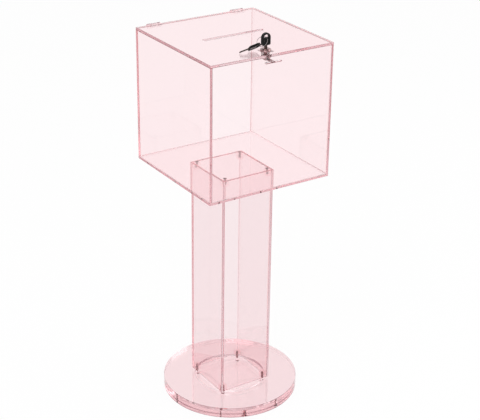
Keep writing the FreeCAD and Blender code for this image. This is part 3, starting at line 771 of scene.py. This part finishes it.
BLACK_PLASTIC = grained("black_plastic", (0.003, 0.003, 0.003), (0.010, 0.009, 0.009),
                        (0.18, 0.34), 2600, metallic=0.0, bump=0.35, shine=0.14)
print("materials:", [material.name for material in bpy.data.materials])

# %% [markdown]
# ## Parts that keep their CAD shape
#
# A screw with its socket, a hinge pin and a cam screw are already exactly what they are in CAD.
# They only get a finish.

# %% Finishes for the small steel parts
KEPT_PARTS = {"base_screws": BROWN_STEEL, "box_floor_screws": BROWN_STEEL, "cam_screw": STEEL,
              "left_hinge_pin": PIN_STEEL, "right_hinge_pin": PIN_STEEL}
for node, material in KEPT_PARTS.items():
    give_finish(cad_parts[node], material)
    print(node, "in", material.name)

# %% [markdown]
# ## The cam lock
#
# The lock drops through the lid: a flange stays on top, a threaded barrel goes down, and a flat
# clip is pushed into two grooves of the barrel to hold it. The thread is cut as rings, one below
# the other, because at this size nobody can tell rings from a spiral. The plug inside turns with
# the key. Body and plug are turned on a lathe: an outline is drawn and spun round the axis.

# %% Turning a piece
LOCK_SMOOTH = 24


def turned(name, profile, sides=96, y=LOCK_Y):
    """Solid of revolution round the lock's axis. The outline is drawn point by point, as radius and
    height in millimetres: a plane is merged to one corner, which is then extruded along the way."""
    bpy.ops.object.select_all(action="DESELECT")
    bpy.ops.mesh.primitive_plane_add(size=MM, location=(0, 0, 0))
    piece = bpy.context.object
    piece.name = name
    bpy.ops.object.mode_set(mode="EDIT")
    bpy.ops.mesh.select_all(action="SELECT")
    bpy.ops.mesh.merge(type="CENTER")
    points = [Vector(mm(radius, 0, height)) for radius, height in profile]
    bpy.ops.transform.translate(value=points[0])
    for start, end in zip(points, points[1:]):
        bpy.ops.mesh.extrude_region_move(TRANSFORM_OT_translate={"value": end - start})
    bpy.ops.mesh.select_all(action="SELECT")
    bpy.ops.mesh.spin(steps=sides, angle=math.radians(360), center=(0, 0, 0), axis=(0, 0, 1))
    bpy.ops.mesh.select_all(action="SELECT")
    bpy.ops.mesh.remove_doubles(threshold=1e-6)
    bpy.ops.mesh.normals_make_consistent(inside=False)
    bpy.ops.object.mode_set(mode="OBJECT")
    piece.location = mm(0, y, 0)
    settle(piece)
    return piece


def centred_block(name, half_x, half_y, foot, top, y=LOCK_Y):
    """Upright block about the lock's axis or the middle of the workbench."""
    return new_block(name, (-half_x, y - half_y, foot), (half_x, y + half_y, top), shrink=0)


print("the lock's axis stands at y =", LOCK_Y)

# %% The lock's body with its thread
FLANGE_RADIUS, BARREL_RADIUS, PLUG_BORE = 11.5, 9.25, 6.05
FLANGE_STEPS = ((2.6, 0), (2.3, 0.25), (1.0, 0.25), (0.25, 0.9), (0, 1.3))
FLANGE_FOOT = 0.2
THREAD_PITCH, THREAD_DEPTH, THREAD_START, THREAD_TAPER = 1.25, 0.45, 0.5, 0.3
GROOVE_X, GROOVE_HALF, GROOVE_REACH, GROOVE_EASE = 9.3, 1.05, 12, 0.02
body_low, body_high = corners("lock_body")
clip_low, clip_high = corners("lock_clip")
LID_TOP, flange_top, barrel_end = lid_high[2], body_high[2], body_low[2]


def thread_profile(top, foot, radius):
    """Zigzag of a thread from top to foot."""
    points, height = [], top
    while height - THREAD_PITCH > foot:
        points += [(radius, height), (radius - THREAD_DEPTH, height - THREAD_PITCH / 2)]
        height -= THREAD_PITCH
    return points + [(radius, height), (radius - THREAD_TAPER, foot)]


profile = [(PLUG_BORE, barrel_end), (PLUG_BORE, flange_top)]
profile += [(FLANGE_RADIUS - inwards, flange_top - down) for inwards, down in FLANGE_STEPS]
profile += [(FLANGE_RADIUS, LID_TOP + FLANGE_FOOT), (FLANGE_RADIUS - FLANGE_FOOT, LID_TOP),
            (BARREL_RADIUS, LID_TOP)]
profile += thread_profile(LID_TOP - THREAD_START, barrel_end, BARREL_RADIUS)
profile += [(PLUG_BORE, barrel_end)]
lock_body = turned("lock_body_turned", profile)
for side in (-1, 1):
    left, right = side * GROOVE_X - GROOVE_HALF, side * GROOVE_X + GROOVE_HALF
    mill(lock_body, new_block("groove", (left, LOCK_Y - GROOVE_REACH, clip_low[2]),
                              (right, LOCK_Y + GROOVE_REACH, clip_high[2]), shrink=-GROOVE_EASE))
smooth(lock_body, LOCK_SMOOTH)
finished_piece(lock_body, "lid", "lock_body", CHROME)

# %% [markdown]
# The plug has a raised round face with a shallow dish and the keyway in it, and a square tail below
# for the cam. A hair's breadth is left under its face, so that it doesn't lie in the same place as
# the body's.

# %% The plug
PLUG_RADIUS, PLUG_FACE_RADIUS, PLUG_EDGE, TAIL_HALF = 6.0, 7.5, 0.35, 3.0
SEAT_GAP, TAIL_LAP = 0.03, 0.5
DISH_RIM, DISH_FLOOR, DISH_DEPTH = 4.9, 4.7, 0.15
KEY_HALF_WIDTH, KEY_HALF_THICKNESS, KEYWAY_GAP, KEYWAY_DEPTH = 3.5, 1.0, 0.1, 16
SCREW_BORE_RADIUS, SCREW_BORE_DEPTH = 2.05, 5
plug_low, plug_high = corners("lock_plug")
plug_seat, plug_top = flange_top + SEAT_GAP, plug_high[2]
plug_profile = [(0, barrel_end), (PLUG_RADIUS, barrel_end), (PLUG_RADIUS, plug_seat),
                (PLUG_FACE_RADIUS, plug_seat), (PLUG_FACE_RADIUS, plug_top - PLUG_EDGE),
                (PLUG_FACE_RADIUS - PLUG_EDGE, plug_top), (DISH_RIM, plug_top),
                (DISH_FLOOR, plug_top - DISH_DEPTH), (0, plug_top - DISH_DEPTH)]
plug = turned("lock_plug_turned", plug_profile)
weld_on(plug, centred_block("tail", TAIL_HALF, TAIL_HALF, plug_low[2], barrel_end + TAIL_LAP))
mill(plug, centred_block("keyway", KEY_HALF_WIDTH + KEYWAY_GAP, KEY_HALF_THICKNESS + KEYWAY_GAP,
                         plug_top - KEYWAY_DEPTH, plug_top + SPARE),
     new_bar("screw_bore", SCREW_BORE_RADIUS, plug_low[2] - SPARE, plug_low[2] + SCREW_BORE_DEPTH,
             y=LOCK_Y, sides=32))
smooth(plug, LOCK_SMOOTH)
finished_piece(plug, "lock_core", "lock_plug", CHROME)

# %% [markdown]
# The cam is pressed from strip: a round hub with an arm, and a square hole for the plug's tail. The
# clip is a plate with a mouth that slides into the grooves.

# %% The cam and the clip
CAM_HUB, CAM_HALF_WIDTH, CAM_GAP, CAM_ARRIS = 7.5, 4.5, 0.1, 0.25
CLIP_MOUTH_HALF, CLIP_MOUTH_FRONT, CLIP_MOUTH_SPARE, CLIP_ARRIS = 8.3, 9.3, 5, 0.15
cam = new_bar("lock_cam_pressed", CAM_HUB, cam_low[2], cam_high[2], y=LOCK_Y, sides=72)
weld_on(cam, new_block("cam_arm", (-CAM_HALF_WIDTH, cam_low[1], cam_low[2]),
                       (CAM_HALF_WIDTH, LOCK_Y, cam_high[2]), shrink=0))
mill(cam, centred_block("cam_square", TAIL_HALF + CAM_GAP, TAIL_HALF + CAM_GAP,
                        cam_low[2] - SPARE, cam_high[2] + SPARE))
soften(cam, CAM_ARRIS, 3)
finished_piece(cam, "lock_core", "lock_cam", STEEL)

clip = new_block("lock_clip_pressed", clip_low, clip_high, shrink=0)
mill(clip, new_block("clip_mouth",
                     (-CLIP_MOUTH_HALF, LOCK_Y - CLIP_MOUTH_FRONT, clip_low[2] - SPARE),
                     (CLIP_MOUTH_HALF, clip_high[1] + CLIP_MOUTH_SPARE, clip_high[2] + SPARE),
                     shrink=0))
soften(clip, CLIP_ARRIS)
finished_piece(clip, "lid", "lock_clip", STEEL)

# %% [markdown]
# ## The keys
#
# Both keys are alike, so one is made, standing on the foot of its bow, and copied. Each is then
# carried to its place: one stands in the lock, the other hangs on the ring just over the lid. The
# bow is moulded plastic with well rounded edges, a half-moon hole and a sunken field for the thumb.

# %% The bow of a key
BOW_WIDTH, BOW_HEIGHT, BOW_THICKNESS, BOW_HOLE_RADIUS, BOW_STRAP = 20.6, 26.0, 5.0, 6.4, 3.5
BOW_FOOT_ROUND, BOW_ROUND, BOW_SHARP_EDGE, BOW_SMOOTH = 2.5, 0.7, 50, 30
FIELD_HALF, FIELD_FOOT, FIELD_TOP, FIELD_DEPTH, FIELD_ROUND = 7.2, 2.4, 13.4, 0.35, 1.2
SEAT_EASE, SEAT_TOP = 0.05, 9.0


def bar_along_y(name, radius, half_length, x, z, sides):
    """Round bar along Y about a point of the key's own plane."""
    bar = new_bar(name, radius, -half_length, half_length, sides=sides)
    bar.rotation_euler = (math.radians(90), 0, 0)
    bar.location = mm(x, 0, z)
    settle(bar)
    return bar


def round_foot(bow):
    """Rounds the two short edges at the foot of the bow."""
    bpy.ops.object.mode_set(mode="EDIT")
    bpy.ops.mesh.select_mode(type="EDGE")
    bpy.ops.mesh.select_all(action="DESELECT")
    bpy.ops.object.mode_set(mode="OBJECT")
    for edge in bow.data.edges:
        ends = [bow.data.vertices[index].co for index in edge.vertices]
        edge.select = all(end.z < MM for end in ends) and abs(ends[0].y - ends[1].y) > MM
    bpy.ops.object.mode_set(mode="EDIT")
    bpy.ops.mesh.bevel(offset=BOW_FOOT_ROUND * MM, segments=6)
    bpy.ops.mesh.select_mode(type="VERT")
    bpy.ops.object.mode_set(mode="OBJECT")


def key_bow(name):
    """Plastic bow of a key, standing on its foot."""
    half, crown, thick = BOW_WIDTH / 2, BOW_HEIGHT - BOW_WIDTH / 2, BOW_THICKNESS / 2
    bow = centred_block(name, half, thick, 0, crown, y=0)
    round_foot(bow)
    weld_on(bow, bar_along_y("crown", half, thick, 0, crown, 96))
    flat = BOW_HEIGHT - BOW_STRAP - BOW_HOLE_RADIUS
    hole = bar_along_y("hole", BOW_HOLE_RADIUS, BOW_THICKNESS, 0, flat, 64)
    mill(hole, centred_block("below", half, BOW_THICKNESS + SPARE, flat - half, flat, y=0))
    mill(bow, hole)
    for side in (-1, 1):
        field = centred_block("field", FIELD_HALF, FIELD_DEPTH, FIELD_FOOT, FIELD_TOP,
                              y=side * thick)
        soften(field, FIELD_ROUND, 3)
        mill(bow, field)
    mill(bow, centred_block("seat", KEY_HALF_WIDTH + SEAT_EASE, KEY_HALF_THICKNESS + SEAT_EASE,
                            -SPARE, SEAT_TOP, y=0))
    finish_with(bow, "BEVEL", width=BOW_ROUND * MM, segments=4, limit_method="ANGLE",
                angle_limit=math.radians(BOW_SHARP_EDGE))
    smooth(bow, BOW_SMOOTH)
    return bow


first_bow = key_bow("key_bow_moulded")
print("bow of a key:", [round(size / MM, 1) for size in first_bow.dimensions], "mm")

# %% [markdown]
# The blade is milled: a groove along each side, cuts along one edge, and a tip that a square cutter
# standing on its corner takes off at both sides.

# %% The blade of a key
BLADE_FOOT, BLADE_HEAD, BLADE_ARRIS = -21.5, 8.9, 0.1
NOTCHES, NOTCH_STEP, NOTCH_DEPTH = 4, 3.0, 1.3
BLADE_GROOVE_SIDES, BLADE_GROOVE_TOP, BLADE_GROOVE_DEPTH = (-1.6, -0.3), -2.2, 0.35
TIP_HALF, TIP_OUT, TIP_DOWN = 3, 2.9, 2.2


def key_blade(name):
    """Metal blade of a key, below the foot of the bow."""
    blade = centred_block(name, KEY_HALF_WIDTH, KEY_HALF_THICKNESS, BLADE_FOOT, BLADE_HEAD, y=0)
    for index in range(1, NOTCHES + 1):
        mill(blade, bar_along_y("cut", NOTCH_DEPTH, TIP_HALF, KEY_HALF_WIDTH,
                                BLADE_FOOT + index * NOTCH_STEP, 12))
    left, right = BLADE_GROOVE_SIDES
    for side in (-1, 1):
        face = side * KEY_HALF_THICKNESS
        mill(blade, new_block("groove", (left, face - BLADE_GROOVE_DEPTH, BLADE_FOOT - SPARE),
                              (right, face + BLADE_GROOVE_DEPTH, BLADE_GROOVE_TOP), shrink=0))
        tip = centred_block("tip", TIP_HALF, TIP_HALF, -TIP_HALF, TIP_HALF, y=0)
        tip.rotation_euler = (0, math.radians(45), 0)
        tip.location = mm(side * (KEY_HALF_WIDTH + TIP_OUT), 0, BLADE_FOOT - TIP_DOWN)
        settle(tip)
        mill(blade, tip)
    soften(blade, BLADE_ARRIS)
    return blade


first_blade = key_blade("key_blade_milled")
print("blade of a key:", [round(size / MM, 1) for size in first_blade.dimensions], "mm")

# %% [markdown]
# A key is carried from the workbench with one matrix: a turn, and then a move. The spare key leans
# in all three directions, as it hangs on the ring.

# %% Carrying the keys to their places
KEY_RISE = 6.5
SPARE_KEY_PLACE, SPARE_KEY_TURN = (-38.6, LOCK_Y + 2.3, LID_TOP + 7.83), (75.4, 35.8, 74.4)


def carry(piece, matrix):
    """Moves a piece from the workbench to its place on the object."""
    piece.matrix_world = matrix
    settle(piece)


def turn(yaw, pitch, roll):
    """Turn about Z, then the tilt about the turned Y, then the roll about the turned X."""
    return (Matrix.Rotation(math.radians(yaw), 4, "Z")
            @ Matrix.Rotation(math.radians(pitch), 4, "Y")
            @ Matrix.Rotation(math.radians(roll), 4, "X"))


KEY_FOOT = plug_top + KEY_RISE
key_place = Matrix.Translation(mm(0, LOCK_Y, KEY_FOOT))
spare_key_place = Matrix.Translation(mm(*SPARE_KEY_PLACE)) @ turn(*SPARE_KEY_TURN)
spare_bow = copy_of(first_bow, "spare_key_bow_moulded")
spare_blade = copy_of(first_blade, "spare_key_blade_milled")
for name, bow, blade, place in (("key", first_bow, first_blade, key_place),
                                ("spare_key", spare_bow, spare_blade, spare_key_place)):
    carry(bow, place)
    carry(blade, place)
    finished_piece(bow, name, f"{name}_bow", BLACK_PLASTIC)
    finished_piece(blade, name, f"{name}_blade", KEY_METAL)

# %% [markdown]
# ## The ring
#
# A split ring is a wire wound nearly twice round. A small circle, the section of the wire, is
# swept with a Screw modifier, and the two open ends are closed.

# %% The split ring
RING_RADIUS, WIRE_RADIUS, TURNS, COIL_STEP, STEPS_A_TURN = 11.5, 0.36, 1.75, 0.74, 96
RING_PLACE, RING_TURN = (-10.5, LOCK_Y - 2.6, KEY_FOOT + 9.75), (-154.7, 47.2, 0)
RING_SMOOTH = 50
bpy.ops.object.select_all(action="DESELECT")
bpy.ops.mesh.primitive_circle_add(vertices=14, radius=WIRE_RADIUS * MM, fill_type="NOTHING",
                                  location=mm(RING_RADIUS, 0, -COIL_STEP * TURNS / 2),
                                  rotation=(math.radians(90), 0, 0))
ring = bpy.context.object
ring.name = "key_ring_wound"
settle(ring)
steps = int(STEPS_A_TURN * TURNS)
finish_with(ring, "SCREW", axis="Z", angle=math.radians(360 * TURNS),
            screw_offset=COIL_STEP * TURNS * MM, steps=steps, render_steps=steps,
            use_merge_vertices=False)
bpy.ops.object.mode_set(mode="EDIT")
bpy.ops.mesh.select_mode(type="EDGE")
bpy.ops.mesh.select_all(action="DESELECT")
bpy.ops.mesh.select_non_manifold()
bpy.ops.mesh.fill_holes(sides=0)
bpy.ops.mesh.select_all(action="SELECT")
bpy.ops.mesh.normals_make_consistent(inside=False)
bpy.ops.mesh.select_mode(type="VERT")
bpy.ops.object.mode_set(mode="OBJECT")
smooth(ring, RING_SMOOTH)
carry(ring, Matrix.Translation(mm(*RING_PLACE)) @ turn(*RING_TURN))
finished_piece(ring, "ring", "key_ring", RING_STEEL)

# %% [markdown]
# ## The studio
#
# A product like this is photographed on a pale sheet of paper under large soft lamps. The floor is
# such a sheet: what the camera, a mirror or a clear piece sees of it is mostly its own white, and
# the rest is a matt paper that takes light and shadow. The world is white near the horizon and
# greyer overhead, so that the polished metal has something darker to mirror.

# %% The paper floor
PAPER, OWN_WHITE, PAPER_SIZE = (0.9, 0.9, 0.9, 1), 0.95, 14


def seen_directly(tree):
    """1 for rays from the camera, from a mirror or through a clear piece, 0 for the rest."""
    path = tree.nodes.new("ShaderNodeLightPath")
    mirror_or_clear = calculate(tree, "MAXIMUM", path.outputs["Is Glossy Ray"],
                                path.outputs["Is Transmission Ray"])
    return calculate(tree, "MAXIMUM", path.outputs["Is Camera Ray"], mirror_or_clear)


bpy.ops.object.select_all(action="DESELECT")
bpy.ops.mesh.primitive_plane_add(size=PAPER_SIZE, location=(0, 0, 0))
paper_floor = bpy.context.object
paper_floor.name = "paper_floor"
paper = bpy.data.materials.new("white_paper")
paper.use_nodes = True
tree = paper.node_tree
tree.nodes.clear()
output = tree.nodes.new("ShaderNodeOutputMaterial")
matt = tree.nodes.new("ShaderNodeBsdfDiffuse")
matt.inputs["Color"].default_value = PAPER
white = tree.nodes.new("ShaderNodeEmission")
mix = tree.nodes.new("ShaderNodeMixShader")
tree.links.new(calculate(tree, "MULTIPLY", seen_directly(tree), OWN_WHITE), mix.inputs[0])
tree.links.new(matt.outputs[0], mix.inputs[1])
tree.links.new(white.outputs[0], mix.inputs[2])
tree.links.new(mix.outputs[0], output.inputs["Surface"])
give_finish(paper_floor, paper)
print("floor:", paper_floor.name)

# %% The world: white at the horizon, greyer overhead
ROOM_LEVEL, OVERHEAD_GREY, GREY_FROM, GREY_FULL = 0.7, 0.45, 0.5, 0.8
room = bpy.data.worlds.new("studio_room")
bpy.context.scene.world = room
room.use_nodes = True
tree = room.node_tree
background = tree.nodes["Background"]
direction = tree.nodes.new("ShaderNodeTexCoord")
height = tree.nodes.new("ShaderNodeSeparateXYZ")
tree.links.new(direction.outputs["Generated"], height.inputs[0])
overhead = spread(tree, height.outputs["Z"], 1.0, OVERHEAD_GREY, GREY_FROM, GREY_FULL)
overhead.node.interpolation_type = "SMOOTHSTEP"
seen = seen_directly(tree)
own = calculate(tree, "MULTIPLY", seen, overhead)
ambient = calculate(tree, "MULTIPLY", calculate(tree, "SUBTRACT", 1.0, seen), ROOM_LEVEL)
tree.links.new(calculate(tree, "ADD", own, ambient), background.inputs["Strength"])
background.inputs["Color"].default_value = (1, 1, 1, 1)
print("world:", room.name, "at a level of", ROOM_LEVEL)

# %% Two soft lamps
LAMPS = {
    "large_soft_lamp": ((-1.9, -1.6, 2.6), 3.0, 60),
    "small_soft_lamp": ((2.2, -0.6, 2.2), 2.2, 20),
}
LIT_POINT = Vector((0, 0, 0.5))
for name, (place, size, power) in LAMPS.items():
    lamp = bpy.data.objects.new(name, bpy.data.lights.new(name, "AREA"))
    lamp.data.size, lamp.data.energy = size, power
    bpy.context.scene.collection.objects.link(lamp)
    lamp.location = place
    lamp.rotation_euler = (LIT_POINT - lamp.location).to_track_quat("-Z", "Y").to_euler()
    lamp.visible_camera = False
    print(name, "at", place, "watts:", power)

# %% [markdown]
# Light inside a clear sheet is thrown to and fro many times before it finds a way out. Blender
# stops following it after a few bounces and takes the rest for black, so here it may bounce often.

# %% How far light is followed
scene = bpy.context.scene
scene.view_settings.view_transform = "Standard"
BOUNCES = 96
scene.cycles.max_bounces = BOUNCES
scene.cycles.transmission_bounces = BOUNCES
scene.cycles.glossy_bounces = BOUNCES
scene.cycles.transparent_max_bounces = BOUNCES
print("bounces:", BOUNCES)

# %% [markdown]
# ## The camera
#
# The camera stands at the front left, a little above the lid, and is tilted by less than a degree.
# Its place was found from the corners of the box, the column and the base as they lie in the
# picture.

# %% The camera
AZIMUTH, ELEVATION, TILT = math.radians(-33.39), math.radians(24.95), math.radians(0.775)
DISTANCE, LENS, SENSOR = 2.8575, 95.94, 36
AIM = Vector((0.0225, 0, 0.4401))
back = Vector((math.sin(AZIMUTH) * math.cos(ELEVATION), -math.cos(AZIMUTH) * math.cos(ELEVATION),
               math.sin(ELEVATION)))
right = (-back).cross(Vector((0, 0, 1))).normalized()
up = right.cross(-back)
camera_right = math.cos(TILT) * right + math.sin(TILT) * up
camera_up = -math.sin(TILT) * right + math.cos(TILT) * up
camera = bpy.data.objects.new("camera", bpy.data.cameras.new("camera"))
scene.collection.objects.link(camera)
camera.matrix_world = (Matrix.Translation(AIM + back * DISTANCE)
                       @ Matrix((camera_right, camera_up, back)).transposed().to_4x4())
camera.data.sensor_width = SENSOR
camera.data.lens = LENS
scene.camera = camera
print("camera at", [round(value, 3) for value in camera.location])
